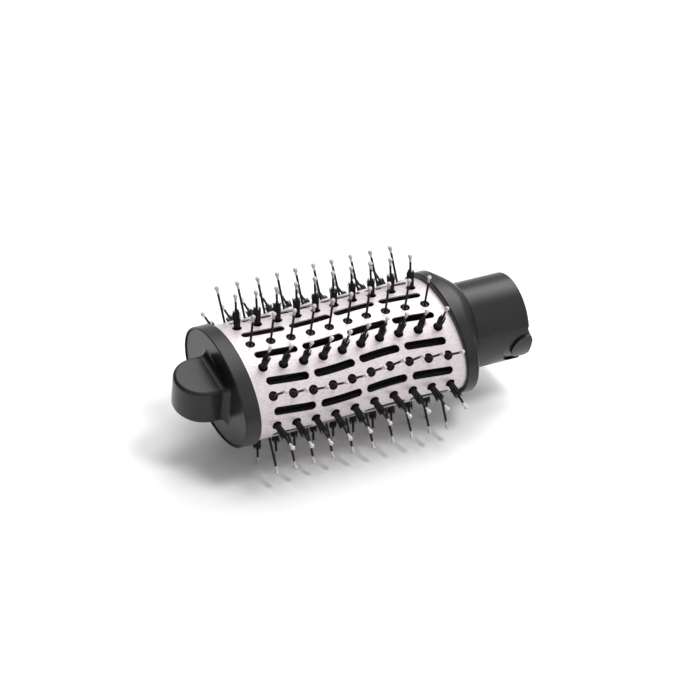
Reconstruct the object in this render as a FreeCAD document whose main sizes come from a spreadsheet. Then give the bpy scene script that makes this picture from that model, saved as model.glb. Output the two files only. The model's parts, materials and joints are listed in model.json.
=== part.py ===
import FreeCAD, Part
import Sketcher
import math
import os

# Hot air brush head: an oval, perforated barrel with twelve bristle rows, a closed cap with
# a D-shaped cool grip at one end and a round coupling neck at the other.
#
# The sub-parts are drawn about the barrel: +X runs from the cap to the neck, the middle of
# the barrel is at x = 0 and the barrel's section lies level.  The placement then moves the
# origin to the neck's mouth and rolls the head onto the bristles that it rests on.

Vector = FreeCAD.Vector
X_AXIS = Vector(1, 0, 0)

SIZES = [
    # barrel
    ("barrel_half_width", 25.0, "half of the long axis of the oval section, outside"),
    ("barrel_half_height", 16.25, "half of the short axis of the oval section, outside"),
    ("barrel_half_length", 42.0, "half of the barrel's length, hidden ends included"),
    ("barrel_wall", 0.5, "sheet thickness of the barrel"),
    ("barrel_insert", 2.0, "length of barrel hidden inside each end piece"),
    # rows of bristles and air openings
    ("row_count", 12, "bristle rows round the barrel"),
    ("pins_per_row", 10, "pins in each row"),
    ("pin_pitch", 7.5, "distance between pins along a row"),
    ("wave_height", 0.83, "how far a row sways to each side of straight"),
    ("wave_length", 56.0, "length of one full sway"),
    ("pin_hole_radius", 1.75, "hole that a pin stands in"),
    ("slots_per_row", 4, "air slots between two bristle rows"),
    ("slot_length", 15.9, "length of an air slot, round ends included"),
    ("slot_gap", 1.9, "metal left between two slots in line"),
    ("slot_half_width", 1.5, "half of an air slot's width"),
    # bristle strips
    ("strip_half_length", 38.6, "half of the length of a bristle strip"),
    ("strip_half_width", 3.8, "half of the width of a bristle strip"),
    ("strip_depth", 1.6, "top of a strip below the barrel's outside"),
    ("strip_thickness", 1.2, "thickness of a bristle strip"),
    ("boss_radius", 1.05, "collar at the foot of a pin"),
    ("boss_depth", 0.4, "top of the collar below the barrel's outside"),
    ("pin_radius", 0.42, "radius of a pin"),
    ("pin_height", 13.2, "top of a pin's ball above the barrel's outside"),
    ("pin_end_cover", 0.6, "thickness of the ball above the pin's end"),
    ("ball_radius", 0.8, "radius of the ball on a pin"),
    ("ball_length", 2.4, "length of the drop-shaped ball"),
    ("ball_neck_radius", 0.5, "radius of the drop where it meets the pin"),
    ("tuft_height", 7.0, "top of a bristle tuft above the barrel's outside"),
    ("tuft_foot_radius", 1.2, "tuft radius in its hole"),
    ("tuft_top_radius", 1.5, "tuft radius at its free end"),
    ("tuft_bore_radius", 0.55, "space in a tuft for its pin"),
    # end pieces
    ("end_overhang", 1.05, "how far the front ring stands out from the barrel"),
    ("fit_gap", 0.05, "clearance between parts that slide together"),
    ("gasket_thickness", 0.8, "heat insulating gasket at each end of the barrel"),
    ("gasket_width", 1.8, "radial width of a gasket"),
    ("flange_thickness", 0.8, "flange that a gasket lies against"),
    ("cap_plate_recess", 2.4, "depth of the cap plate's seat in the front ring"),
    ("cap_plate_sink", 0.4, "cap plate's face below the ring's front edge"),
    ("cap_plate_inset", 0.7, "visible width of the ring's front edge"),
    ("cap_edge_radius", 0.3, "rounding of the cap plate's edge"),
    ("ring_edge_radius", 0.4, "rounding of the front ring's edge"),
    # grip on the cap
    ("grip_top_half_width", 9.6, "half of the grip's width at its top, radius of its end"),
    ("grip_top_straight", 6.4, "straight length of the grip's sides at its top"),
    ("grip_bottom_half_width", 10.6, "half of the grip's width at its bottom"),
    ("grip_bottom_straight", 4.9, "straight length of the grip's sides at its bottom"),
    ("grip_top", 7.6, "top of the grip above the barrel's axis"),
    ("grip_bottom", 6.0, "bottom of the grip below the barrel's axis"),
    ("grip_edge_radius", 1.3, "rounding of the grip's edges"),
    ("grip_foot_radius", 2.8, "hollow rounding where the grip meets the plate"),
    # inner frame
    ("core_depth", 3.0, "outside of the core below the barrel's outside"),
    ("core_wall", 1.2, "wall of the core"),
    ("core_half_length", 38.6, "half of the core's length"),
    ("window_length", 10.0, "air window in the core, along the axis"),
    ("window_pitch", 18.0, "distance between windows"),
    ("window_count", 4, "windows along the core"),
    ("window_width", 22.0, "width of the upper and lower windows"),
    ("side_window_height", 6.0, "height of the side windows"),
    ("plate_thickness", 2.4, "thickness of the end plate and the end ring"),
    ("plate_gap", 0.15, "clearance between an end plate and the barrel"),
    ("spigot_length", 3.6, "length of the spigot that enters the core"),
    ("spigot_wall", 1.5, "wall of that spigot"),
    ("deflector_flange", 1.0, "rim of the air deflector"),
    ("deflector_height", 7.0, "height of the deflector's dome"),
    ("deflector_top_scale", 0.3, "top of the dome as a share of its foot"),
    ("deflector_foot_inset", 2.7, "rim left round the foot of the dome"),
    # screws
    ("screw_radius", 1.0, "radius of a screw's thread"),
    ("screw_head_radius", 1.9, "radius of a screw's head"),
    ("screw_head_height", 1.3, "height of a screw's head"),
    ("screw_drive_radius", 0.8, "radius of the socket in a screw's head"),
    ("screw_drive_depth", 0.7, "depth of that socket"),
    ("cap_screw_offset", 6.0, "cap screws to each side of the axis"),
    ("cap_screw_length", 9.0, "length of a cap screw under its head"),
    ("collar_screw_y", 20.7, "side collar screws from the axis"),
    ("collar_screw_z", 12.1, "upper and lower collar screws from the axis"),
    ("collar_screw_length", 5.4, "length of a collar screw under its head"),
    ("screw_boss_radius", 2.3, "boss that a screw bites into"),
    ("screw_boss_length", 4.0, "length of that boss in the collar"),
    # collar and neck
    ("collar_rim_length", 4.2, "straight rim of the collar"),
    ("collar_half_width", 26.3, "half width of that rim"),
    ("collar_half_height", 18.6, "half height of that rim"),
    ("collar_rim_edge_radius", 0.5, "rounding of that rim"),
    ("shoulder_x", 46.5, "middle of the collar's shoulder"),
    ("shoulder_half_width", 22.2, "half width of the collar at its shoulder"),
    ("shoulder_half_height", 18.2, "half height of the collar at its shoulder"),
    ("neck_start_x", 49.2, "end of the collar, start of the neck"),
    ("collar_neck_radius", 16.8, "radius of the collar where the neck starts"),
    ("neck_socket_depth", 2.6, "length of the neck held inside the collar"),
    ("neck_spigot_radius", 14.6, "outside of that length"),
    ("neck_seam_width", 0.5, "trim ring between collar and neck"),
    ("neck_seam_radius", 15.9, "radius of the trim ring"),
    ("neck_radius", 15.8, "outside radius of the neck"),
    ("neck_air_radius", 13.0, "air passage through the neck's foot"),
    ("hair", 0.02, "how much longer than its short axis a nearly round oval's long axis is"),
    ("mouth_x", 70.3, "mouth of the neck"),
    ("mouth_edge_radius", 0.5, "rounding of the mouth"),
    ("socket_radius", 13.9, "bore that takes the handle's nozzle"),
    ("socket_depth", 14.0, "depth of that bore, up to the seal"),
    ("seal_thickness", 1.4, "thickness of the neck seal"),
    ("seal_groove_radius", 14.5, "groove in the neck that holds the seal"),
    ("seal_bore_radius", 12.7, "bore of the neck seal"),
    ("tab_length", 1.4, "locating tab past the mouth"),
    ("tab_root", 1.0, "length of the tab's foot inside the neck's wall"),
    ("tab_inside_radius", 14.3, "inside of the tab, clear of the bore"),
    ("tab_foot_half_width", 7.0, "half width of the tab at the mouth"),
    ("tab_end_half_width", 3.5, "half width of the tab at its end"),
    ("tab_direction", 99.0, "middle of the tab, from the top towards -Y"),
    ("recess_radius", 8.6, "outside of the half-round groove about the tab"),
    ("tongue_radius", 5.4, "inside of that groove"),
    ("recess_depth", 1.0, "depth of that groove"),
    ("groove_width", 3.2, "bayonet groove in the bore"),
    ("groove_depth", 0.8, "depth of a bayonet groove"),
    ("groove_length", 9.0, "length of a bayonet groove from the mouth"),
    # how the head lies
    ("rest_roll", 8.2, "roll about the axis that sets two bristle rows on the table"),
]

document = FreeCAD.newDocument("hot_air_brush_head")
sheet = document.addObject("Spreadsheet::Sheet", "Sizes")
for line, (alias, number, note) in enumerate(SIZES, start=1):
    sheet.set("A%d" % line, alias)
    sheet.set("B%d" % line, str(number))
    sheet.set("C%d" % line, note)
    sheet.setAlias("B%d" % line, alias)
document.recompute()

subparts = []

# How near two coordinates are for an edge to count as lying on a plane.
CLOSE = 0.01


def size(alias):
    return float(sheet.get(alias))


def value(expression):
    return float(sheet.evalExpression(expression))


def subpart(obj, label):
    """Names a finished sub-part and rolls it into its place in the frame of the whole head."""
    obj.Label = label
    roll = FreeCAD.Rotation(X_AXIS, size("rest_roll"))
    obj.Placement = FreeCAD.Placement(roll.multVec(Vector(-size("mouth_x"), 0, 0)), roll)
    subparts.append(obj)
    return obj


# ---------------------------------------------------------------- sketches and features

def body(name):
    return document.addObject("PartDesign::Body", name)


def origin_plane(owner, role):
    for item in owner.Origin.OriginFeatures:
        if item.Role == role:
            return item
    raise ValueError(role)


def sketch(owner, name, plane="YZ_Plane", offset="0"):
    """An empty sketch on a plane of the body's origin, moved out along the plane's normal."""
    drawing = owner.newObject("Sketcher::SketchObject", name)
    drawing.AttachmentSupport = [(origin_plane(owner, plane), "")]
    drawing.MapMode = "FlatFace"
    drawing.setExpression("AttachmentOffset.Base.z", offset)
    return drawing


def drive(drawing, kind, arguments, name, expression):
    """Adds a dimension to a sketch and binds it to the sheet."""
    index = drawing.addConstraint(Sketcher.Constraint(kind, *arguments, value(expression)))
    drawing.renameConstraint(index, name)
    drawing.setExpression("Constraints." + name, expression)


def fix(drawing, kind, *arguments):
    drawing.addConstraint(Sketcher.Constraint(kind, *arguments))


def draw_oval(drawing, half_width, half_height, name="oval"):
    """An ellipse about the sketch's origin with its long axis level."""
    across = Vector(value(half_width), 0, 0)
    up = Vector(0, value(half_height), 0)
    ellipse = drawing.addGeometry(Part.Ellipse(across, up, Vector(0, 0, 0)), False)
    drawing.exposeInternalGeometry(ellipse)
    long_axis = ellipse + 1
    short_axis = ellipse + 2
    fix(drawing, "Coincident", ellipse, 3, -1, 1)
    fix(drawing, "Horizontal", long_axis)
    drive(drawing, "Distance", (long_axis,), name + "_width", "2 * (%s)" % half_width)
    drive(drawing, "Distance", (short_axis,), name + "_height", "2 * (%s)" % half_height)


def draw_circle(drawing, radius, y="0", z="0", name="round"):
    centre = Vector(value(y), value(z), 0)
    circle = drawing.addGeometry(Part.Circle(centre, Vector(0, 0, 1), value(radius)), False)
    drive(drawing, "Radius", (circle,), name + "_radius", radius)
    for kind, expression, axis in (("DistanceX", y, "_y"), ("DistanceY", z, "_z")):
        if value(expression) == 0:
            fix(drawing, "PointOnObject", circle, 3, -2 if kind == "DistanceX" else -1)
        else:
            drive(drawing, kind, (-1, 1, circle, 3), name + axis, expression)


def draw_rectangle(drawing, half_length, half_height, centre_x="0"):
    """A rectangle centred on the sketch's horizontal axis."""
    middle = value(centre_x)
    reach = value(half_length)
    rise = value(half_height)
    corners = [
        Vector(middle - reach, -rise, 0),
        Vector(middle + reach, -rise, 0),
        Vector(middle + reach, rise, 0),
        Vector(middle - reach, rise, 0),
    ]
    for index in range(4):
        drawing.addGeometry(Part.LineSegment(corners[index], corners[(index + 1) % 4]), False)
    for index in range(4):
        fix(drawing, "Coincident", index, 2, (index + 1) % 4, 1)
    for index in (0, 2):
        fix(drawing, "Horizontal", index)
        fix(drawing, "Vertical", index + 1)
    drive(drawing, "DistanceX", (0, 1, 0, 2), "length", "2 * (%s)" % half_length)
    drive(drawing, "DistanceY", (1, 1, 1, 2), "height", "2 * (%s)" % half_height)
    drive(drawing, "DistanceX", (0, 1, -1, 1), "start", "(%s) - (%s)" % (half_length, centre_x))
    drive(drawing, "DistanceY", (0, 1, -1, 1), "fall", half_height)


def pad(owner, drawing, length, name, centred=False):
    feature = owner.newObject("PartDesign::Pad", name)
    feature.Profile = drawing
    feature.Midplane = centred
    feature.setExpression("Length", length)
    return feature


def pocket(owner, drawing, length, name):
    """Cuts from the sketch towards +X, the way its normal points."""
    feature = owner.newObject("PartDesign::Pocket", name)
    feature.Profile = drawing
    feature.Reversed = True
    feature.setExpression("Length", length)
    return feature


def pocket_through(owner, drawing, name):
    feature = owner.newObject("PartDesign::Pocket", name)
    feature.Profile = drawing
    feature.Type = 1
    feature.Midplane = True
    return feature


def loft(owner, drawings, name, cut=False):
    kind = "PartDesign::SubtractiveLoft" if cut else "PartDesign::AdditiveLoft"
    feature = owner.newObject(kind, name)
    feature.Profile = drawings[0]
    feature.Sections = drawings[1:]
    return feature


def round_edges(owner, radius, name, wanted):
    """Fillets the tip's edges for which wanted(edge) is true."""
    document.recompute()
    tip = owner.Tip
    names = []
    for index, edge in enumerate(tip.Shape.Edges, start=1):
        if wanted(edge):
            names.append("Edge%d" % index)
    feature = owner.newObject("PartDesign::Fillet", name)
    feature.Base = (tip, names)
    feature.setExpression("Radius", radius)
    return feature


def flat_at(edge, x):
    box = edge.BoundBox
    return abs(box.XMin - x) < CLOSE and abs(box.XMax - x) < CLOSE


def oval_pad(owner, start, length, half_width, half_height, name):
    drawing = sketch(owner, name + "_outline", offset=start)
    draw_oval(drawing, half_width, half_height)
    return pad(owner, drawing, length, name)


def oval_pocket(owner, start, length, half_width, half_height, name):
    drawing = sketch(owner, name + "_outline", offset=start)
    draw_oval(drawing, half_width, half_height)
    return pocket(owner, drawing, length, name)


def round_pad(owner, start, length, radius, name, y="0", z="0"):
    drawing = sketch(owner, name + "_outline", offset=start)
    draw_circle(drawing, radius, y, z)
    return pad(owner, drawing, length, name)


def round_pocket(owner, start, length, radius, name, y="0", z="0"):
    drawing = sketch(owner, name + "_outline", offset=start)
    draw_circle(drawing, radius, y, z)
    return pocket(owner, drawing, length, name)


# Half axes of the barrel's section, made larger or smaller by a depth measured inwards.

def width_at(depth):
    return "Sizes.barrel_half_width - (%s)" % depth


def height_at(depth):
    return "Sizes.barrel_half_height - (%s)" % depth


# ---------------------------------------------------------------- the bristle rows' geometry

def section_ellipse():
    """The barrel's outside section, as a curve that starts at +Y and climbs over the top."""
    return Part.Ellipse(
        Vector(0, size("barrel_half_width"), 0),
        Vector(0, 0, size("barrel_half_height")),
        Vector(0, 0, 0),
    )


section = section_ellipse()
section_length = section.toShape().Length
row_spacing = section_length / size("row_count")


def surface_point(distance):
    """The point and outward normal at a distance round the section from the top."""
    parameter = section.parameterAtDistance(distance % section_length, math.pi / 2)
    point = section.value(parameter)
    normal = Vector(
        0,
        point.y / size("barrel_half_width") ** 2,
        point.z / size("barrel_half_height") ** 2,
    ).normalize()
    return point, normal


def wave(x):
    """Sideways sway of every row and slot at a place along the axis."""
    return -size("wave_height") * math.sin(2 * math.pi * x / size("wave_length"))


def pin_places(row):
    """Foot point and direction of every pin of a row."""
    places = []
    count = int(size("pins_per_row"))
    for index in range(count):
        x = (index - (count - 1) / 2) * size("pin_pitch")
        point, normal = surface_point(row * row_spacing + wave(x))
        places.append((point + X_AXIS * x, normal))
    return places


# Points that each long side of a band is drawn through.
BAND_POINTS = 5


def wavy_band(distance, start_x, end_x, half_width, depth, thickness, round_ends):
    """A band that follows the wave, flat across, at a depth below the barrel's outside."""
    point, normal = surface_point(distance)
    tangent = X_AXIS.cross(normal)
    base = point - normal * depth
    spans = BAND_POINTS - 1
    steps = [start_x + (end_x - start_x) * step / spans for step in range(BAND_POINTS)]

    def place(x, sideways):
        return base + X_AXIS * x + tangent * (wave(x) + sideways)

    edges = []
    ends = []
    for side in (-half_width, half_width):
        curve = Part.BSplineCurve()
        curve.interpolate([place(x, side) for x in steps])
        edges.append(curve.toShape())
    for x, reach in ((start_x, -half_width), (end_x, half_width)):
        first = place(x, -half_width)
        last = place(x, half_width)
        if round_ends:
            ends.append(Part.Arc(first, place(x + reach, 0), last).toShape())
        else:
            ends.append(Part.makeLine(first, last))
    outline = Part.Wire(Part.__sortEdges__([edges[0], ends[1], edges[1], ends[0]]))
    return Part.Face(outline).extrude(normal * -thickness)


def post(foot, direction, start, end, radius, top_radius=None):
    """A round post that stands on the barrel's outside, from one height to another."""
    base = foot + direction * start
    if top_radius is None:
        return Part.makeCylinder(radius, end - start, base, direction)
    return Part.makeCone(radius, top_radius, end - start, base, direction)


def solid_feature(shape, label):
    obj = document.addObject("Part::Feature", label)
    obj.Shape = shape
    return subpart(obj, label)


# ---------------------------------------------------------------- barrel

def barrel():
    tube = body("barrel_tube")
    drawing = sketch(tube, "barrel_section", offset="-Sizes.barrel_half_length")
    draw_oval(drawing, width_at("0"), height_at("0"), "outside")
    pad(tube, drawing, "2 * Sizes.barrel_half_length", "barrel_wall_pad")
    oval_pocket(
        tube,
        "-Sizes.barrel_half_length",
        "2 * Sizes.barrel_half_length",
        width_at("Sizes.barrel_wall"),
        height_at("Sizes.barrel_wall"),
        "barrel_bore",
    )
    cutter_depth = 3 * size("barrel_wall")
    cutters = []
    slot_reach = size("slot_length") - 2 * size("slot_half_width")
    slot_pitch = size("slot_length") + size("slot_gap")
    slots = int(size("slots_per_row"))
    for row in range(int(size("row_count"))):
        for foot, direction in pin_places(row):
            cutters.append(post(foot, direction, -cutter_depth, cutter_depth,
                                size("pin_hole_radius")))
        for index in range(slots):
            middle = (index - (slots - 1) / 2) * slot_pitch
            cutters.append(wavy_band(
                (row + 0.5) * row_spacing,
                middle - slot_reach / 2,
                middle + slot_reach / 2,
                size("slot_half_width"),
                -cutter_depth,
                2 * cutter_depth,
                True,
            ))
    openings = document.addObject("Part::Feature", "barrel_openings")
    openings.Shape = Part.makeCompound(cutters)
    perforated = document.addObject("Part::Cut", "barrel")
    perforated.Base = tube
    perforated.Tool = openings
    return subpart(perforated, "barrel")


# ---------------------------------------------------------------- bristle rows

def bristle_strip(row, label):
    bar = wavy_band(
        row * row_spacing,
        -size("strip_half_length"),
        size("strip_half_length"),
        size("strip_half_width"),
        size("strip_depth"),
        size("strip_thickness"),
        False,
    )
    root = -size("strip_depth") - size("strip_thickness") / 2
    posts = []
    for foot, direction in pin_places(row):
        posts.append(post(foot, direction, root, -size("boss_depth"), size("boss_radius")))
        pin_end = size("pin_height") - size("pin_end_cover")
        posts.append(post(foot, direction, root, pin_end, size("pin_radius")))
    return solid_feature(bar.fuse(posts).removeSplitter(), label)


def pin_balls(row, label):
    """Drop-shaped resin balls, each with the bore that the pin's end fills."""
    balls = []
    ball_centre = size("pin_height") - size("ball_radius")
    ball_foot = size("pin_height") - size("ball_length")
    pin_end = size("pin_height") - size("pin_end_cover")
    for foot, direction in pin_places(row):
        ball = Part.makeSphere(size("ball_radius"), foot + direction * ball_centre, direction)
        taper = post(foot, direction, ball_foot, ball_centre, size("ball_neck_radius"),
                     size("ball_radius"))
        bore = post(foot, direction, ball_foot, pin_end, size("pin_radius"))
        balls.append(ball.fuse(taper).cut(bore))
    return solid_feature(Part.makeCompound(balls), label)


def tufts(row, label):
    """Short dense bristle tufts, one round each pin of the row."""
    bundles = []
    for foot, direction in pin_places(row):
        bundle = post(foot, direction, -size("boss_depth"), size("tuft_height"),
                      size("tuft_foot_radius"), size("tuft_top_radius"))
        bore = post(foot, direction, -size("boss_depth"), size("tuft_height"),
                    size("tuft_bore_radius"))
        bundles.append(bundle.cut(bore))
    return solid_feature(Part.makeCompound(bundles), label)


def bristle_rows():
    for row in range(int(size("row_count"))):
        bristle_strip(row, "bristle_strip_%02d" % (row + 1))
        pin_balls(row, "pin_balls_%02d" % (row + 1))
        if row % 2 == 1:
            tufts(row, "bristle_tufts_%02d" % (row + 1))


# ---------------------------------------------------------------- cap end

BARREL_END = "Sizes.barrel_half_length"
GASKET_FACE = "(Sizes.barrel_half_length + Sizes.gasket_thickness)"
FLANGE_FACE = "(Sizes.barrel_half_length + Sizes.gasket_thickness + Sizes.flange_thickness)"
RING_FACE = (
    "(Sizes.barrel_half_length + Sizes.gasket_thickness + Sizes.flange_thickness"
    " + Sizes.cap_plate_recess)"
)
CAP_FACE = "(%s - Sizes.cap_plate_sink)" % RING_FACE
VISIBLE_END = "(Sizes.barrel_half_length - Sizes.barrel_insert)"


def front_ring():
    ring = body("front_ring")
    oval_pad(ring, "-" + RING_FACE, RING_FACE + " - " + VISIBLE_END,
             width_at("-Sizes.end_overhang"), height_at("-Sizes.end_overhang"), "ring_outside")
    oval_pocket(ring, "-" + RING_FACE, "Sizes.cap_plate_recess",
                width_at("Sizes.cap_plate_inset - Sizes.end_overhang - Sizes.fit_gap"),
                height_at("Sizes.cap_plate_inset - Sizes.end_overhang - Sizes.fit_gap"),
                "cap_plate_seat")
    oval_pocket(ring, "-" + FLANGE_FACE, "Sizes.flange_thickness",
                width_at("Sizes.gasket_width"), height_at("Sizes.gasket_width"), "ring_opening")
    oval_pocket(ring, "-" + GASKET_FACE, GASKET_FACE + " - " + VISIBLE_END,
                width_at("-Sizes.fit_gap"), height_at("-Sizes.fit_gap"), "barrel_seat")
    ends = (value("-" + RING_FACE), value("-" + VISIBLE_END))
    reach = value(width_at("-Sizes.end_overhang"))

    def outer_rim(edge):
        wide = edge.BoundBox.YLength / 2 > reach - CLOSE
        return wide and (flat_at(edge, ends[0]) or flat_at(edge, ends[1]))

    round_edges(ring, "Sizes.ring_edge_radius", "ring_edges", outer_rim)
    return subpart(ring, "front_ring")


def grip_outline(cap, level, height):
    """The grip's D outline at one height: a straight foot, two sides and a round end."""
    half_width = "Sizes.grip_%s_half_width" % level
    straight = "Sizes.grip_%s_straight" % level
    drawing = sketch(cap, "grip_%s_outline" % level, "XY_Plane", height)
    foot_x = value("-" + CAP_FACE)
    bend_x = foot_x - value(straight)
    half = value(half_width)
    near, far = Vector(foot_x, -half, 0), Vector(foot_x, half, 0)
    near_bend, far_bend = Vector(bend_x, -half, 0), Vector(bend_x, half, 0)
    drawing.addGeometry(Part.LineSegment(far, near), False)
    drawing.addGeometry(Part.LineSegment(near, near_bend), False)
    drawing.addGeometry(Part.Arc(near_bend, Vector(bend_x - half, 0, 0), far_bend), False)
    drawing.addGeometry(Part.LineSegment(far_bend, far), False)
    fix(drawing, "Coincident", 0, 2, 1, 1)
    fix(drawing, "Coincident", 3, 2, 0, 1)
    fix(drawing, "Tangent", 1, 2, 2, 2)
    fix(drawing, "Tangent", 2, 1, 3, 1)
    fix(drawing, "Vertical", 0)
    fix(drawing, "Horizontal", 1)
    fix(drawing, "PointOnObject", 2, 3, -1)
    drive(drawing, "Radius", (2,), "end_radius", half_width)
    drive(drawing, "DistanceX", (1, 2, 1, 1), "side", straight)
    drive(drawing, "DistanceX", (1, 1, -1, 1), "foot", CAP_FACE)
    return drawing


def front_cap():
    """Cap plate with the D-shaped grip, moulded in one, and two screw bosses behind."""
    cap = body("front_cap")
    oval_pad(cap, "-" + CAP_FACE, CAP_FACE + " - " + FLANGE_FACE,
             width_at("Sizes.cap_plate_inset - Sizes.end_overhang"),
             height_at("Sizes.cap_plate_inset - Sizes.end_overhang"), "cap_plate")
    round_edges(cap, "Sizes.cap_edge_radius", "cap_plate_edge",
                lambda edge: flat_at(edge, value("-" + CAP_FACE)))
    bottom = grip_outline(cap, "bottom", "-Sizes.grip_bottom")
    top = grip_outline(cap, "top", "Sizes.grip_top")
    loft(cap, [bottom, top], "grip")
    foot_x = value("-" + CAP_FACE)
    half = size("grip_bottom_half_width")
    levels = (size("grip_top"), -size("grip_bottom"))

    def grip_rim(edge):
        box = edge.BoundBox
        ahead = box.XMin < foot_x - size("grip_foot_radius")
        return ahead and any(
            abs(box.ZMin - level) < CLOSE and abs(box.ZMax - level) < CLOSE for level in levels)

    round_edges(cap, "Sizes.grip_edge_radius", "grip_edges", grip_rim)

    def grip_foot(edge):
        box = edge.BoundBox
        inside = box.YMax < half + CLOSE and box.YMin > -half - CLOSE
        return inside and flat_at(edge, foot_x)

    round_edges(cap, "Sizes.grip_foot_radius", "grip_foot", grip_foot)
    for side, label in (("Sizes.cap_screw_offset", "near"), ("-Sizes.cap_screw_offset", "far")):
        round_pad(cap, "-" + FLANGE_FACE, FLANGE_FACE + " - " + BARREL_END,
                  "Sizes.screw_boss_radius", "cap_boss_" + label, side)
        round_pocket(cap, "-(%s + Sizes.cap_screw_length)" % BARREL_END,
                     "Sizes.cap_screw_length", "Sizes.screw_radius", "cap_bore_" + label, side)
    return subpart(cap, "front_cap")


def gasket(label, start):
    seal = body(label)
    oval_pad(seal, start, "Sizes.gasket_thickness", width_at("0"), height_at("0"), "outside")
    oval_pocket(seal, start, "Sizes.gasket_thickness",
                width_at("Sizes.gasket_width"), height_at("Sizes.gasket_width"), "inside")
    return subpart(seal, label)


PLATE_DEPTH = "Sizes.barrel_wall + Sizes.plate_gap"
SPIGOT_DEPTH = "Sizes.core_depth + Sizes.core_wall + Sizes.fit_gap"
SPIGOT_BORE_DEPTH = "Sizes.core_depth + Sizes.core_wall + Sizes.fit_gap + Sizes.spigot_wall"
PLATE_FACE = "(Sizes.barrel_half_length - Sizes.plate_thickness)"
SPIGOT_END = "(Sizes.barrel_half_length - Sizes.plate_thickness - Sizes.spigot_length)"


def front_end_plate():
    """Closes the barrel at the cap end and centres the core."""
    plate = body("front_end_plate")
    oval_pad(plate, "-" + BARREL_END, "Sizes.plate_thickness",
             width_at(PLATE_DEPTH), height_at(PLATE_DEPTH), "plate")
    oval_pad(plate, "-" + PLATE_FACE, "Sizes.spigot_length",
             width_at(SPIGOT_DEPTH), height_at(SPIGOT_DEPTH), "spigot")
    oval_pocket(plate, "-" + PLATE_FACE, "Sizes.spigot_length",
                width_at(SPIGOT_BORE_DEPTH), height_at(SPIGOT_BORE_DEPTH), "spigot_bore")
    for side, label in (("Sizes.cap_screw_offset", "near"), ("-Sizes.cap_screw_offset", "far")):
        round_pocket(plate, "-" + BARREL_END, "Sizes.plate_thickness", "Sizes.screw_radius",
                     "screw_hole_" + label, side)
    return subpart(plate, "front_end_plate")


def rear_end_ring():
    """Open ring that carries the core at the neck end and takes the collar's screws."""
    ring = body("rear_end_ring")
    oval_pad(ring, SPIGOT_END, "Sizes.spigot_length",
             width_at(SPIGOT_DEPTH), height_at(SPIGOT_DEPTH), "spigot")
    oval_pad(ring, PLATE_FACE, "Sizes.plate_thickness",
             width_at(PLATE_DEPTH), height_at(PLATE_DEPTH), "plate")
    oval_pocket(ring, SPIGOT_END, "Sizes.spigot_length + Sizes.plate_thickness",
                width_at(SPIGOT_BORE_DEPTH), height_at(SPIGOT_BORE_DEPTH), "air_opening")
    for index, (y, z) in enumerate(COLLAR_SCREWS):
        round_pocket(ring, PLATE_FACE, "Sizes.plate_thickness", "Sizes.screw_radius",
                     "screw_hole_%d" % index, y, z)
        round_pocket(ring, PLATE_FACE, "Sizes.screw_head_height",
                     "Sizes.screw_head_radius + Sizes.fit_gap", "screw_sink_%d" % index, y, z)
    return subpart(ring, "rear_end_ring")


def core_frame():
    """Windowed oval tube that the bristle strips lie on."""
    core = body("core_frame")
    oval_pad(core, "-Sizes.core_half_length", "2 * Sizes.core_half_length",
             width_at("Sizes.core_depth"), height_at("Sizes.core_depth"), "core_outside")
    oval_pocket(core, "-Sizes.core_half_length", "2 * Sizes.core_half_length",
                width_at("Sizes.core_depth + Sizes.core_wall"),
                height_at("Sizes.core_depth + Sizes.core_wall"), "core_bore")
    first = "-(Sizes.window_count - 1) / 2 * Sizes.window_pitch"
    windows = (
        ("upper_and_lower", "XY_Plane", "Sizes.window_width / 2"),
        ("side", "XZ_Plane", "Sizes.side_window_height / 2"),
    )
    for label, plane, half_height in windows:
        drawing = sketch(core, label + "_window", plane)
        draw_rectangle(drawing, "Sizes.window_length / 2", half_height, first)
        cut = pocket_through(core, drawing, label + "_windows")
        document.recompute()
        pattern = core.newObject("PartDesign::LinearPattern", label + "_window_pattern")
        pattern.Originals = [cut]
        pattern.Direction = (origin_plane(core, "X_Axis"), [""])
        pattern.setExpression("Length", "(Sizes.window_count - 1) * Sizes.window_pitch")
        pattern.setExpression("Occurrences", "Sizes.window_count")
        core.Tip = pattern
        document.recompute()
    return subpart(core, "core_frame")


def air_deflector():
    """Dome that turns the air outwards before the closed end."""
    dome = body("air_deflector")
    oval_pad(dome, "-" + SPIGOT_END, "Sizes.deflector_flange",
             width_at(SPIGOT_DEPTH), height_at(SPIGOT_DEPTH), "rim")
    foot = sketch(dome, "dome_foot", offset="-" + SPIGOT_END + " + Sizes.deflector_flange")
    foot_depth = SPIGOT_DEPTH + " + Sizes.deflector_foot_inset"
    draw_oval(foot, width_at(foot_depth), height_at(foot_depth))
    top = sketch(dome, "dome_top", offset=(
        "-" + SPIGOT_END + " + Sizes.deflector_flange + Sizes.deflector_height"))
    draw_oval(top, "Sizes.deflector_top_scale * (%s)" % width_at(foot_depth),
              "Sizes.deflector_top_scale * (%s)" % height_at(foot_depth))
    loft(dome, [foot, top], "dome")
    return subpart(dome, "air_deflector")


# ---------------------------------------------------------------- neck end

COLLAR_SCREWS = (
    ("Sizes.collar_screw_y", "0"),
    ("-Sizes.collar_screw_y", "0"),
    ("0", "Sizes.collar_screw_z"),
    ("0", "-Sizes.collar_screw_z"),
)
RIM_END = "(%s + Sizes.collar_rim_length)" % VISIBLE_END
NECK_SOCKET = "(Sizes.neck_start_x - Sizes.neck_socket_depth)"
SEAL_FACE = "(Sizes.mouth_x - Sizes.socket_depth - Sizes.seal_thickness)"


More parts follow.
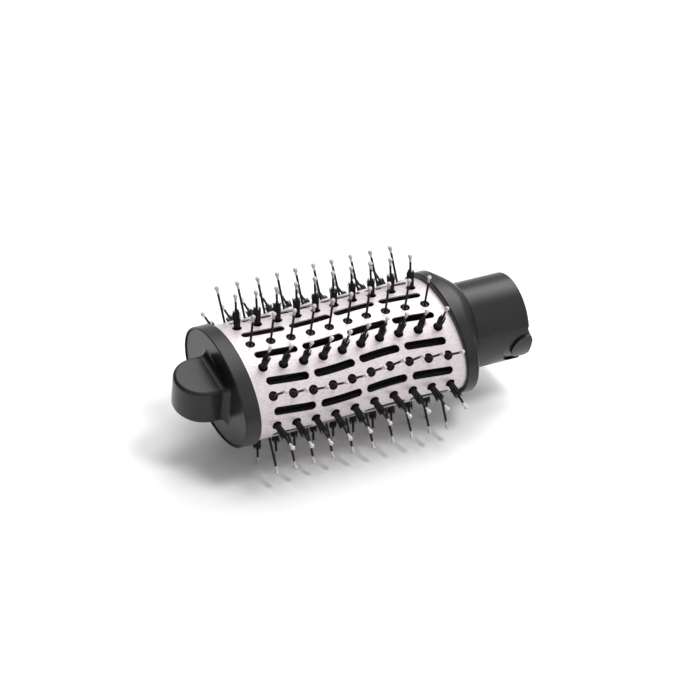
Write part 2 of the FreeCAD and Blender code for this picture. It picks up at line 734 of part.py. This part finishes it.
def rear_collar():
    """Shell that leads from the oval barrel to the round neck."""
    collar = body("rear_collar")
    oval_pad(collar, VISIBLE_END, "Sizes.collar_rim_length",
             "Sizes.collar_half_width", "Sizes.collar_half_height", "rim")
    rim = sketch(collar, "shoulder_start", offset=RIM_END)
    draw_oval(rim, "Sizes.collar_half_width", "Sizes.collar_half_height")
    shoulder = sketch(collar, "shoulder_middle", offset="Sizes.shoulder_x")
    draw_oval(shoulder, "Sizes.shoulder_half_width", "Sizes.shoulder_half_height")
    end = sketch(collar, "shoulder_end", offset="Sizes.neck_start_x")
    draw_oval(end, "Sizes.collar_neck_radius + Sizes.hair", "Sizes.collar_neck_radius")
    loft(collar, [rim, shoulder, end], "shoulder")
    oval_pocket(collar, VISIBLE_END, GASKET_FACE + " - " + VISIBLE_END,
                width_at("-Sizes.fit_gap"), height_at("-Sizes.fit_gap"), "barrel_seat")
    air_start = sketch(collar, "air_start", offset=GASKET_FACE)
    draw_oval(air_start, width_at("Sizes.gasket_width"), height_at("Sizes.gasket_width"))
    air_end = sketch(collar, "air_end", offset=NECK_SOCKET)
    draw_oval(air_end, "Sizes.neck_air_radius + Sizes.hair", "Sizes.neck_air_radius")
    loft(collar, [air_start, air_end], "air_way", cut=True)
    round_pocket(collar, NECK_SOCKET, "Sizes.neck_socket_depth",
                 "Sizes.neck_spigot_radius + Sizes.fit_gap", "neck_socket")
    for index, (y, z) in enumerate(COLLAR_SCREWS):
        round_pad(collar, BARREL_END, "Sizes.screw_boss_length", "Sizes.screw_boss_radius",
                  "screw_boss_%d" % index, y, z)
        round_pocket(collar, BARREL_END, "Sizes.screw_boss_length", "Sizes.screw_radius",
                     "screw_bore_%d" % index, y, z)
    reach = value(width_at("-Sizes.end_overhang"))
    start = value(VISIBLE_END)
    round_edges(collar, "Sizes.collar_rim_edge_radius", "rim_edge",
                lambda edge: flat_at(edge, start) and edge.BoundBox.YLength / 2 > reach - CLOSE)
    return subpart(collar, "rear_collar")


def neck_seam_ring():
    ring = body("neck_trim_ring")
    round_pad(ring, "Sizes.neck_start_x", "Sizes.neck_seam_width", "Sizes.neck_seam_radius",
              "ring")
    round_pocket(ring, "Sizes.neck_start_x", "Sizes.neck_seam_width",
                 "Sizes.neck_spigot_radius + Sizes.fit_gap", "ring_bore")
    return subpart(ring, "neck_trim_ring")


def axial_cylinder(name, start, length, radius):
    """A primitive cylinder along the axis."""
    cylinder = document.addObject("Part::Cylinder", name)
    cylinder.Placement = FreeCAD.Placement(
        Vector(0, 0, 0), FreeCAD.Rotation(Vector(0, 0, 1), X_AXIS))
    cylinder.setExpression("Placement.Base.x", start)
    cylinder.setExpression("Height", length)
    cylinder.setExpression("Radius", radius)
    return cylinder


def boolean(kind, name, base, tool):
    result = document.addObject(kind, name)
    result.Base = base
    result.Tool = tool
    return result


def neck_sleeve():
    """Round neck that slides over the handle's nozzle, with its locating tab and recess."""
    sleeve = body("neck_tube")
    round_pad(sleeve, NECK_SOCKET, "Sizes.neck_socket_depth + Sizes.neck_seam_width",
              "Sizes.neck_spigot_radius", "foot")
    outside_start = "(Sizes.neck_start_x + Sizes.neck_seam_width)"
    round_pad(sleeve, outside_start, "Sizes.mouth_x - " + outside_start, "Sizes.neck_radius",
              "outside")
    round_edges(sleeve, "Sizes.mouth_edge_radius", "mouth_edge",
                lambda edge: flat_at(edge, size("mouth_x")))
    round_pocket(sleeve, NECK_SOCKET, "Sizes.mouth_x - " + NECK_SOCKET,
                 "Sizes.neck_air_radius", "air_way")
    round_pocket(sleeve, "Sizes.mouth_x - Sizes.socket_depth", "Sizes.socket_depth",
                 "Sizes.socket_radius", "socket")
    round_pocket(sleeve, SEAL_FACE, "Sizes.seal_thickness", "Sizes.seal_groove_radius",
                 "seal_groove")
    document.recompute()

    # The tab is a slice of the neck's own wall, carried on past the mouth.
    tab_start = "Sizes.mouth_x - Sizes.tab_root"
    tab_length = "Sizes.tab_root + Sizes.tab_length"
    tab_wall = boolean(
        "Part::Cut", "tab_wall",
        axial_cylinder("tab_outside", tab_start, tab_length, "Sizes.neck_radius"),
        axial_cylinder("tab_inside", tab_start, tab_length, "Sizes.tab_inside_radius"),
    )
    wedge = document.addObject("Part::Feature", "tab_wedge")
    wedge.Shape = tab_wedge()
    tab = boolean("Part::Common", "locating_tab", tab_wall, wedge)
    with_tab = boolean("Part::Fuse", "neck_with_tab", sleeve, tab)
    cuts = document.addObject("Part::Feature", "neck_cuts")
    cuts.Shape = Part.makeCompound(neck_cutters())
    return subpart(boolean("Part::Cut", "neck_sleeve", with_tab, cuts), "neck_sleeve")


def around(direction):
    """Unit vector across the axis, at an angle from the top towards -Y."""
    angle = math.radians(direction)
    return Vector(0, -math.sin(angle), math.cos(angle))


def tab_wedge():
    """Prism with slanting flanks that gives the tab its outline."""
    outward = around(size("tab_direction"))
    across = X_AXIS.cross(outward)
    root = X_AXIS * (size("mouth_x") - size("tab_root"))
    mouth = X_AXIS * size("mouth_x")
    end = X_AXIS * (size("mouth_x") + size("tab_length"))
    foot_side = across * size("tab_foot_half_width")
    end_side = across * size("tab_end_half_width")
    outline = Part.makePolygon([
        root - foot_side, mouth - foot_side, end - end_side,
        end + end_side, mouth + foot_side, root + foot_side, root - foot_side,
    ])
    return Part.Face(outline).extrude(outward * 2 * size("neck_radius"))


def neck_cutters():
    outward = around(size("tab_direction"))
    mouth = X_AXIS * size("mouth_x")
    recess_middle = mouth - X_AXIS * size("tab_root")
    reach = 2 * size("recess_radius")
    recess = Part.makeCylinder(size("recess_radius"), reach, recess_middle, outward)
    tongue = Part.makeCylinder(size("tongue_radius"), reach, recess_middle, outward)
    floor_radius = size("neck_radius") - size("recess_depth")
    floor = Part.makeCylinder(floor_radius, 2 * reach, mouth - X_AXIS * reach, X_AXIS)
    cutters = [recess.cut(tongue).cut(floor)]
    for turn in (90, 270):
        side = around(size("tab_direction") + turn)
        across = X_AXIS.cross(side)
        corner = mouth - X_AXIS * size("groove_length") - across * (size("groove_width") / 2)
        groove = Part.makeBox(
            size("groove_length") + size("tab_length"),
            size("groove_width"),
            size("socket_radius") + size("groove_depth"),
        )
        groove.Placement = FreeCAD.Placement(corner, FreeCAD.Rotation(X_AXIS, across, side))
        cutters.append(groove)
    return cutters


def neck_seal():
    seal = body("neck_seal")
    round_pad(seal, SEAL_FACE, "Sizes.seal_thickness", "Sizes.seal_groove_radius", "outside")
    round_pocket(seal, SEAL_FACE, "Sizes.seal_thickness", "Sizes.seal_bore_radius", "bore")
    return subpart(seal, "neck_seal")


# ---------------------------------------------------------------- screws

def screw(place, direction, length):
    """Pan-head screw with a hexagon socket; the underside of its head is at place."""
    radius = size("screw_radius")
    shaft = Part.makeCylinder(radius, length, place, direction)
    head = Part.makeCylinder(
        size("screw_head_radius"), size("screw_head_height"), place, direction * -1)
    corners = []
    across = direction.cross(Vector(0, 0, 1))
    up = across.cross(direction)
    drive_base = place - direction * size("screw_head_height")
    for corner in range(7):
        angle = corner * math.pi / 3
        reach = across * math.cos(angle) + up * math.sin(angle)
        corners.append(drive_base + reach * size("screw_drive_radius"))
    socket = Part.Face(Part.makePolygon(corners)).extrude(direction * size("screw_drive_depth"))
    return shaft.fuse(head).cut(socket).removeSplitter()


def cap_screws():
    place_x = -size("barrel_half_length") + size("plate_thickness")
    screws = []
    for side in (-1, 1):
        place = Vector(place_x, side * size("cap_screw_offset"), 0)
        screws.append(screw(place, Vector(-1, 0, 0), size("cap_screw_length")))
    return solid_feature(Part.makeCompound(screws), "cap_screws")


def collar_screws():
    place_x = value(PLATE_FACE) + size("screw_head_height")
    screws = []
    for y, z in COLLAR_SCREWS:
        place = Vector(place_x, value(y), value(z))
        screws.append(screw(place, X_AXIS, size("collar_screw_length")))
    return solid_feature(Part.makeCompound(screws), "collar_screws")


# ---------------------------------------------------------------- build, check and write

barrel()
bristle_rows()
front_ring()
front_cap()
gasket("front_gasket", "-" + GASKET_FACE)
gasket("rear_gasket", BARREL_END)
front_end_plate()
rear_end_ring()
core_frame()
air_deflector()
rear_collar()
neck_seam_ring()
neck_sleeve()
neck_seal()
cap_screws()
collar_screws()
document.recompute()

for obj in document.Objects:
    if "Invalid" in obj.State or "Error" in obj.State:
        raise RuntimeError("%s did not build: %s" % (obj.Name, obj.State))

os.makedirs("parts", exist_ok=True)
for obj in subparts:
    shape = obj.Shape
    if shape.isNull() or not shape.isValid() or not shape.Solids:
        raise RuntimeError("%s has no valid solid" % obj.Label)
    shape.exportStep("parts/%s.step" % obj.Label)
    box = shape.BoundBox
    print("%-20s solids %3d volume %9.1f  x %7.2f..%7.2f  y %7.2f..%7.2f  z %7.2f..%7.2f" % (
        obj.Label, len(shape.Solids), shape.Volume, box.XMin, box.XMax, box.YMin, box.YMax,
        box.ZMin, box.ZMax))
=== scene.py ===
import json
import math
import random

import bmesh
import bpy
import numpy as np
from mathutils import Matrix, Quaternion, Vector


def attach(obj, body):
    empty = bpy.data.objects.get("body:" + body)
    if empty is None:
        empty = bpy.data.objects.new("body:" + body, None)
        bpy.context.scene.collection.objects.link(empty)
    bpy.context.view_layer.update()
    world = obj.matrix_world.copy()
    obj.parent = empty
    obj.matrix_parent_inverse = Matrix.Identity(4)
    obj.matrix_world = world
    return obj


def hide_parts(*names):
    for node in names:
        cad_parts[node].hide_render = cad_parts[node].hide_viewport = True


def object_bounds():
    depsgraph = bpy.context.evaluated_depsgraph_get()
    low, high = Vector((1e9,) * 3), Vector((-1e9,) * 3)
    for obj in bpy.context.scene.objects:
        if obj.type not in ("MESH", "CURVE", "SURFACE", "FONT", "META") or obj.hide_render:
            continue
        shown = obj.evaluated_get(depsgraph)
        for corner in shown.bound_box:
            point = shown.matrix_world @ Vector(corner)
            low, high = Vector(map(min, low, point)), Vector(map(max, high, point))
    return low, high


# Looks of the hot air brush head.  Lengths are in metres; MM turns millimetres into metres.
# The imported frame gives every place: the head's axis is the X axis, +X out of the neck.

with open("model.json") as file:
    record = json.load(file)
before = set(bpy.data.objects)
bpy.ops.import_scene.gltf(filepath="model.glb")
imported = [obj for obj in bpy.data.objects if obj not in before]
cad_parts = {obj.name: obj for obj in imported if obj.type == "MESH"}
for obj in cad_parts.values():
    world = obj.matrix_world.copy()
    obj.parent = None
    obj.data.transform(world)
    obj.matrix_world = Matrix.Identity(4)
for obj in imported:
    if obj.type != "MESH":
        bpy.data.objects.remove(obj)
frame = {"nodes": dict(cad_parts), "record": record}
cad_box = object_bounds()

MM = 0.001
ROOT = "root"
WELD_DISTANCE = 0.001 * MM
nodes = frame["nodes"]

# ---------------------------------------------------------------- node material helpers

NOISE_LOW, NOISE_HIGH = 0.3, 0.7  # most of a noise texture's values lie between these
SHALLOW, DEEP = 0.02 * MM, 0.03 * MM  # reliefs of the surfaces


def grey(value):
    return (value, value, value)


class Look:
    """A node material under construction.  Noise scales are in features per metre."""

    def __init__(self, name):
        self.material = bpy.data.materials.new(name)
        self.material.use_nodes = True
        self.tree = self.material.node_tree
        self.shader = self.tree.nodes["Principled BSDF"]
        self.coordinates = self.tree.nodes.new("ShaderNodeTexCoord").outputs["Object"]

    def constants(self, **values):
        for name, number in values.items():
            self.shader.inputs[name.replace("_", " ")].default_value = number

    def mapped(self, scale):
        mapping = self.tree.nodes.new("ShaderNodeMapping")
        mapping.inputs["Scale"].default_value = scale
        self.tree.links.new(self.coordinates, mapping.inputs["Vector"])
        return mapping.outputs["Vector"]

    def noise(self, scale, detail=3.0, roughness=0.55, stretch=(1, 1, 1)):
        node = self.tree.nodes.new("ShaderNodeTexNoise")
        node.inputs["Scale"].default_value = scale
        node.inputs["Detail"].default_value = detail
        node.inputs["Roughness"].default_value = roughness
        self.tree.links.new(self.mapped(stretch), node.inputs["Vector"])
        return node.outputs["Fac"]

    def spread(self, value, low, high):
        """A noise brought to the range from low to high."""
        node = self.tree.nodes.new("ShaderNodeMapRange")
        node.inputs["From Min"].default_value = NOISE_LOW
        node.inputs["From Max"].default_value = NOISE_HIGH
        node.inputs["To Min"].default_value = low
        node.inputs["To Max"].default_value = high
        self.tree.links.new(value, node.inputs["Value"])
        return node.outputs["Result"]

    def tones(self, value, dark, light, low=NOISE_LOW, high=NOISE_HIGH):
        """Colour that runs from dark to light as the value goes from low to high."""
        node = self.tree.nodes.new("ShaderNodeValToRGB")
        stops = ((low, dark), (high, light))
        for element, (place, colour) in zip(node.color_ramp.elements, stops):
            element.position = place
            element.color = (*colour, 1.0)
        self.tree.links.new(value, node.inputs["Fac"])
        return node.outputs["Color"]

    def multiplied(self, first, second):
        """The product of two colours."""
        node = self.tree.nodes.new("ShaderNodeMix")
        node.data_type = "RGBA"
        node.blend_type = "MULTIPLY"
        sockets = {socket.name: socket for socket in node.inputs if socket.enabled}
        sockets["Factor"].default_value = 1.0
        self.tree.links.new(first, sockets["A"])
        self.tree.links.new(second, sockets["B"])
        return next(socket for socket in node.outputs if socket.enabled)

    def feed(self, output, name):
        self.tree.links.new(output, self.shader.inputs[name])

    def bump(self, *layers):
        """Stacks (height, strength, distance) layers into one surface relief."""
        normal = None
        for height, strength, distance in layers:
            node = self.tree.nodes.new("ShaderNodeBump")
            node.inputs["Strength"].default_value = strength
            node.inputs["Distance"].default_value = distance
            self.tree.links.new(height, node.inputs["Height"])
            if normal is not None:
                self.tree.links.new(normal, node.inputs["Normal"])
            normal = node.outputs["Normal"]
        self.feed(normal, "Normal")


# ---------------------------------------------------------------- the materials


def barrel_coating():
    """Pearl-pink satin coating over drawn metal: fine lengthwise grain, speckle, cloudiness."""
    look = Look("pearl_coating")
    grain = look.noise(1500, 2.0, 0.6, stretch=(0.12, 1, 1))
    colour = look.tones(look.noise(70), (0.60, 0.538, 0.555), (0.66, 0.592, 0.612))
    speckle = look.noise(2100, 2.0, 0.7, stretch=(0.35, 1, 1))
    shade = look.tones(speckle, grey(0.80), grey(1.0), low=0.36, high=0.58)
    look.feed(look.multiplied(colour, shade), "Base Color")
    look.feed(look.spread(grain, 0.34, 0.46), "Roughness")
    look.constants(Metallic=0.35, Coat_Weight=0.12, Coat_Roughness=0.3)
    look.bump((look.noise(4200, 2.0), 0.12, SHALLOW), (grain, 0.10, SHALLOW))
    return look.material


def satin_plastic(name, dark, light, roughness, gloss=0.4):
    """Moulded plastic with a spark-eroded grain and a slight unevenness of tone."""
    look = Look(name)
    look.feed(look.tones(look.noise(45, 4.0), dark, light), "Base Color")
    grain = look.noise(2600, 2.0, 0.6)
    look.feed(look.spread(grain, roughness - 0.04, roughness + 0.06), "Roughness")
    look.constants(Specular_IOR_Level=gloss)
    look.bump((grain, 0.25, SHALLOW), (look.noise(300, 2.0), 0.1, DEEP))
    return look.material


def resin():
    """Clouded grey-pink resin of the drops on the pins."""
    look = Look("drop_resin")
    cloud = look.noise(900)
    look.feed(look.tones(cloud, (0.42, 0.385, 0.385), (0.62, 0.58, 0.58)), "Base Color")
    look.feed(look.spread(cloud, 0.12, 0.26), "Roughness")
    look.constants(
        Transmission_Weight=0.15, IOR=1.48, Subsurface_Weight=0.3, Subsurface_Scale=0.6 * MM)
    look.bump((look.noise(2500, 2.0), 0.1, SHALLOW))
    return look.material


def nylon():
    """Black bristle nylon, slightly uneven in tone and gloss."""
    look = Look("bristle_nylon")
    streak = look.noise(2200, 2.0)
    look.feed(look.tones(streak, grey(0.004), (0.014, 0.014, 0.013)), "Base Color")
    look.feed(look.spread(streak, 0.4, 0.55), "Roughness")
    look.constants(Specular_IOR_Level=0.3)
    return look.material


def rubber():
    """Matt black rubber of the gasket."""
    look = Look("black_rubber")
    cloud = look.noise(120)
    look.feed(look.tones(cloud, grey(0.012), grey(0.03)), "Base Color")
    look.feed(look.spread(cloud, 0.7, 0.85), "Roughness")
    look.bump((look.noise(1400, 2.0), 0.3, DEEP))
    return look.material


def steel():
    """Brushed steel of the screws."""
    look = Look("screw_steel")
    brushed = look.noise(900, 2.0, stretch=(0.1, 1, 1))
    look.feed(look.tones(brushed, (0.42, 0.42, 0.43), (0.62, 0.62, 0.63)), "Base Color")
    look.feed(look.spread(brushed, 0.22, 0.4), "Roughness")
    look.constants(Metallic=1.0)
    return look.material


MATERIALS = {
    "barrel_coating": barrel_coating(),
    "strip_plastic": satin_plastic("strip_plastic", grey(0.004), grey(0.010), 0.50, gloss=0.25),
    "ball_resin": resin(),
    "tuft_nylon": nylon(),
    "cap_plastic": satin_plastic("cap_plastic", (0.007, 0.0073, 0.007),
                                 (0.012, 0.0124, 0.012), 0.31, gloss=0.36),
    "neck_plastic": satin_plastic("neck_plastic", (0.006, 0.0063, 0.006),
                                  (0.010, 0.0104, 0.010), 0.30, gloss=0.36),
    "trim_plastic": satin_plastic("trim_plastic", (0.010, 0.011, 0.011),
                                  (0.016, 0.017, 0.017), 0.30),
    "core_plastic": satin_plastic("core_plastic", grey(0.002), grey(0.005), 0.65, gloss=0.15),
    "gasket_rubber": rubber(),
    "screw_steel": steel(),
}


def dress(obj, slot):
    obj.data.materials.clear()
    obj.data.materials.append(MATERIALS[slot])


for entry in frame["record"]["subparts"]:
    dress(nodes[entry["node"]], entry["material_slot"])


# ---------------------------------------------------------------- where the pins stand


def islands(node):
    """The separate solids of a CAD node, each as an array of triangle corners."""
    mesh = bmesh.new()
    mesh.from_mesh(nodes[node].data)
    bmesh.ops.remove_doubles(mesh, verts=mesh.verts, dist=WELD_DISTANCE)
    bmesh.ops.triangulate(mesh, faces=mesh.faces)
    mesh.verts.index_update()
    mesh.faces.index_update()
    seen = set()
    parts = []
    for start in mesh.verts:
        if start.index in seen:
            continue
        stack, faces = [start], set()
        seen.add(start.index)
        while stack:
            vertex = stack.pop()
            for face in vertex.link_faces:
                faces.add(face)
                for other in face.verts:
                    if other.index not in seen:
                        seen.add(other.index)
                        stack.append(other)
        ordered = sorted(faces, key=lambda face: face.index)
        parts.append(np.array([[tuple(v.co) for v in face.verts] for face in ordered]))
    mesh.free()
    return parts


def axis_of(triangles):
    """Area-weighted middle, outward axis, and the ends of a round solid along that axis."""
    edges = np.cross(triangles[:, 1] - triangles[:, 0], triangles[:, 2] - triangles[:, 0])
    areas = np.linalg.norm(edges, axis=1)
    centres = triangles.mean(axis=1)
    middle = (centres * areas[:, None]).sum(0) / areas.sum()
    offsets = centres - middle
    spread = (offsets * areas[:, None]).T @ offsets
    direction = np.linalg.eigh(spread)[1][:, -1]
    if direction @ (middle * (0, 1, 1)) < 0:
        direction = -direction
    along = (triangles.reshape(-1, 3) - middle) @ direction
    return Vector(middle), Vector(direction), along.min(), along.max()


def stations(node):
    """(foot, tip, direction) of each solid of a node, ordered along the barrel."""
    places = []
    for triangles in islands(node):
        middle, direction, low, high = axis_of(triangles)
        places.append((middle + direction * low, middle + direction * high, direction))
    return sorted(places, key=lambda place: place[0].x)


def finished(name, mesh, slot, node):
    """Turns a bmesh into a smooth piece that rides on the head and replaces a CAD node."""
    data = bpy.data.meshes.new(name)
    mesh.normal_update()
    mesh.to_mesh(data)
    mesh.free()
    piece = bpy.data.objects.new(name, data)
    bpy.context.scene.collection.objects.link(piece)
    data.polygons.foreach_set("use_smooth", [True] * len(data.polygons))
    dress(piece, slot)
    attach(piece, ROOT)
    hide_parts(node)


def square_to(direction):
    """Two unit vectors square to a direction."""
    side = direction.orthogonal().normalized()
    return side, direction.cross(side)


def tube(mesh, centres, radii, sides, twist=0.0):
    """A closed round tube through the centres, its rings turned as little as possible."""
    side = None
    rings = []
    for index, (centre, radius) in enumerate(zip(centres, radii)):
        ahead = centres[min(index + 1, len(centres) - 1)]
        behind = centres[max(index - 1, 0)]
        course = (ahead - behind).normalized()
        if side is None:
            side, _ = square_to(course)
        else:
            side = (side - course * side.dot(course)).normalized()
        other = course.cross(side)
        ring = []
        for step in range(sides):
            angle = twist + 2 * math.pi * step / sides
            reach = side * math.cos(angle) + other * math.sin(angle)
            ring.append(mesh.verts.new(centre + reach * radius))
        rings.append(ring)
    for lower, upper in zip(rings, rings[1:]):
        for step in range(sides):
            following = (step + 1) % sides
            mesh.faces.new((lower[step], lower[following], upper[following], upper[step]))
    mesh.faces.new(tuple(reversed(rings[0])))
    mesh.faces.new(tuple(rings[-1]))


# ---------------------------------------------------------------- drops and tufts

DROP_SEED, TUFT_SEED = 100, 500

DROP_RADIUS = 0.84 * MM
DROP_SIZES = (0.93, 1.04)  # smallest and largest drop, as shares of DROP_RADIUS
DROP_LEAN = 0.03 * MM
DROP_SIDES = 14
DROP_STEPS = 6
DROP_LATITUDES = (-40.0, 88.05)  # degrees, from the drop's lowest round ring to its top
DROP_NECK = (0.85 * MM, 0.68)  # height above the foot, share of the drop's radius
COAT_RADIUS = 0.46 * MM
COAT_PROFILE = ((-0.5 * MM, 0.93), (0.0, 1.0), (0.5 * MM, 1.06))  # height, share of COAT_RADIUS


def drop_profile(length, radius):
    """(height, radius) of each ring, from the thin coat on the pin to the top of the drop."""
    profile = [(height, share * COAT_RADIUS) for height, share in COAT_PROFILE]
    neck_height, neck_share = DROP_NECK
    profile.append((neck_height, neck_share * radius))
    lowest, highest = DROP_LATITUDES
    for step in range(DROP_STEPS + 1):
        angle = math.radians(lowest + (highest - lowest) * step / DROP_STEPS)
        height = length - radius + radius * math.sin(angle)
        profile.append((height, radius * math.cos(angle)))
    return profile


def drop_row(row):
    """Resin drops of one row, each with the thin coat that runs down its pin."""
    node = "pin_balls_%02d" % row
    chance = random.Random(DROP_SEED + row)
    mesh = bmesh.new()
    for foot, tip, direction in stations(node):
        radius = DROP_RADIUS * chance.uniform(*DROP_SIZES)
        lean = Vector([chance.gauss(0, 1) for axis in "xyz"]) * DROP_LEAN
        length = (tip - foot).length
        profile = drop_profile(length, radius)
        centres = [foot + direction * height + lean * max(0.0, height / length)
                   for height, _ in profile]
        tube(mesh, centres, [ring_radius for _, ring_radius in profile], DROP_SIDES)
    finished("resin_drops_%02d" % row, mesh, "ball_resin", node)


FILAMENTS = 58
FILAMENT_RADIUS = 0.12 * MM
FILAMENT_TAPER = 0.25  # share of the radius lost at the tip
FILAMENT_STEPS = 4
FILAMENT_SIDES = 5
FILAMENT_HEIGHTS = (0.80, 1.0)  # lowest and highest end, as shares of the tuft's length
FILAMENT_SWAY = 0.16 * MM
FILAMENT_STRAY = 0.3  # radians either way from an even turn
GOLDEN_ANGLE = 2.39996  # radians from each filament to the next, which spreads them evenly
TUFT_FOOT_RADIUS = 1.05 * MM
TUFT_SPREAD = 1.22  # width at the top, as a share of the width at the foot
TUFT_FLARE = 1.4  # over 1, the tuft opens mostly near its top
PIN_CLEARANCE = 0.55 * MM


def tuft_row(row):
    """Nylon tufts of one row: each filament leans out and ends at its own height."""
    node = "bristle_tufts_%02d" % row
    chance = random.Random(TUFT_SEED + row)
    mesh = bmesh.new()
    rises = [step / FILAMENT_STEPS for step in range(FILAMENT_STEPS + 1)]
    radii = [FILAMENT_RADIUS * (1 - FILAMENT_TAPER * rise) for rise in rises]
    for foot, tip, direction in stations(node):
        side, other = square_to(direction)
        length = (tip - foot).length
        for index in range(FILAMENTS):
            share = (index + 0.5) / FILAMENTS
            reach = PIN_CLEARANCE + (TUFT_FOOT_RADIUS - PIN_CLEARANCE) * math.sqrt(share)
            angle = index * GOLDEN_ANGLE + chance.uniform(-FILAMENT_STRAY, FILAMENT_STRAY)
            out = side * math.cos(angle) + other * math.sin(angle)
            sway = side * chance.gauss(0, FILAMENT_SWAY) + other * chance.gauss(0, FILAMENT_SWAY)
            height = length * chance.uniform(*FILAMENT_HEIGHTS)
            centres = []
            for rise in rises:
                width = reach * (1 + (TUFT_SPREAD - 1) * rise ** TUFT_FLARE)
                centres.append(foot + direction * (height * rise) + out * width
                               + sway * rise ** 2)
            tube(mesh, centres, radii, FILAMENT_SIDES, angle)
    finished("nylon_tufts_%02d" % row, mesh, "tuft_nylon", node)


row_count = sum(1 for name in nodes if name.startswith("pin_balls_"))
for row in range(1, row_count + 1):
    drop_row(row)
    if "bristle_tufts_%02d" % row in nodes:
        tuft_row(row)


# ---------------------------------------------------------------- floor, light and camera


FLOOR_REACH = 6.0  # metres from the middle to each edge


def floor():
    """Pale matt floor that the lowest drops stand on."""
    bottom = cad_box[0].z
    data = bpy.data.meshes.new("floor")
    signs = ((-1, -1), (1, -1), (1, 1), (-1, 1))
    corners = [(x * FLOOR_REACH, y * FLOOR_REACH, bottom) for x, y in signs]
    data.from_pydata(corners, [], [(0, 1, 2, 3)])
    plane = bpy.data.objects.new("floor", data)
    bpy.context.scene.collection.objects.link(plane)
    look = Look("studio_floor")
    look.feed(look.tones(look.noise(3.0, 2.0), grey(0.75), grey(0.77)), "Base Color")
    look.constants(Roughness=0.8)
    data.materials.append(look.material)


# Each softbox: name, place and aim from the head's middle, watts, side length, mirrored or not.
SOFTBOXES = (
    ("front_softbox", (0.14, -0.24, 0.64), (0.0, 0.0, 0.0), 2.7, 0.18, False),
    ("top_softbox", (0.03, 0.03, 0.70), (0.0, 0.0, 0.0), 1.6, 0.24, False),
    ("neck_softbox", (0.24, 0.17, 0.30), (0.04, 0.0, 0.0), 0.20, 0.16, True),
)


def softboxes():
    """Square area lights; the ones that aren't mirrored leave no spot on glossy surfaces."""
    middle = (cad_box[0] + cad_box[1]) / 2
    for name, place, aim, power, side, mirrored in SOFTBOXES:
        data = bpy.data.lights.new(name, "AREA")
        data.energy = power
        data.shape = "SQUARE"
        data.size = side
        lamp = bpy.data.objects.new(name, data)
        lamp.location = middle + Vector(place)
        lamp.visible_glossy = mirrored
        lamp.rotation_mode = "QUATERNION"
        lamp.rotation_quaternion = (Vector(aim) - Vector(place)).to_track_quat("-Z", "Y")
        bpy.context.scene.collection.objects.link(lamp)


# Each panel: direction, cosine where its soft edge starts, cosine where it is full, brightness.
SKY_PANELS = (
    ((0.0, 0.0, 1.0), 0.60, 0.95, 0.40),
    ((0.39, 0.42, 0.82), 0.86, 0.97, 2.5),
    ((0.45, 0.75, 0.5), 0.60, 0.95, 0.60),
    ((0.5, -0.7, 0.5), 0.60, 0.95, 0.90),
    ((-0.6, -0.6, 0.5), 0.60, 0.95, 0.40),
    ((0.95, 0.0, 0.3), 0.60, 0.95, 0.20),
)


def panel_sky():
    """Sky of soft-edged bright panels round a dark room."""
    world = bpy.data.worlds.new("studio")
    world.use_nodes = True
    bpy.context.scene.world = world
    tree = world.node_tree
    coordinates = tree.nodes.new("ShaderNodeTexCoord").outputs["Generated"]
    total = None
    for direction, edge, full, brightness in SKY_PANELS:
        facing = tree.nodes.new("ShaderNodeVectorMath")
        facing.operation = "DOT_PRODUCT"
        facing.inputs[1].default_value = Vector(direction).normalized()
        tree.links.new(coordinates, facing.inputs[0])
        panel = tree.nodes.new("ShaderNodeMapRange")
        panel.inputs["From Min"].default_value = edge
        panel.inputs["From Max"].default_value = full
        panel.inputs["To Max"].default_value = brightness
        tree.links.new(facing.outputs["Value"], panel.inputs["Value"])
        if total is None:
            total = panel.outputs["Result"]
            continue
        joined = tree.nodes.new("ShaderNodeMath")
        joined.operation = "ADD"
        tree.links.new(total, joined.inputs[0])
        tree.links.new(panel.outputs["Result"], joined.inputs[1])
        total = joined.outputs["Value"]
    background = tree.nodes["Background"]
    background.inputs["Color"].default_value = (1.0, 1.0, 1.0, 1.0)
    tree.links.new(total, background.inputs["Strength"])


CAMERA_AIM = Vector((-67.72, -7.02, 7.26)) * MM
CAMERA_AZIMUTH = -28.28
CAMERA_ELEVATION = 34.70
CAMERA_ROLL = -3.11
CAMERA_DISTANCE = 1.1254
CAMERA_LENS = 165.5
CAMERA_SENSOR = 36.0
CAMERA_NEAR, CAMERA_FAR = 0.01, 50.0


def camera():
    """Long-lens view from above, on the cap end and one long side."""
    azimuth = math.radians(CAMERA_AZIMUTH)
    elevation = math.radians(CAMERA_ELEVATION)
    back = Vector((
        math.sin(azimuth) * math.cos(elevation),
        -math.cos(azimuth) * math.cos(elevation),
        math.sin(elevation),
    ))
    data = bpy.data.cameras.new("camera")
    data.lens = CAMERA_LENS
    data.sensor_width = CAMERA_SENSOR
    data.clip_start = CAMERA_NEAR
    data.clip_end = CAMERA_FAR
    eye = bpy.data.objects.new("camera", data)
    eye.location = CAMERA_AIM + back * CAMERA_DISTANCE
    eye.rotation_mode = "QUATERNION"
    upright = (-back).to_track_quat("-Z", "Y")
    eye.rotation_quaternion = upright @ Quaternion((0, 0, 1), math.radians(-CAMERA_ROLL))
    bpy.context.scene.collection.objects.link(eye)
    bpy.context.scene.camera = eye


floor()
panel_sky()
softboxes()
camera()
bpy.context.scene.view_settings.view_transform = "Standard"
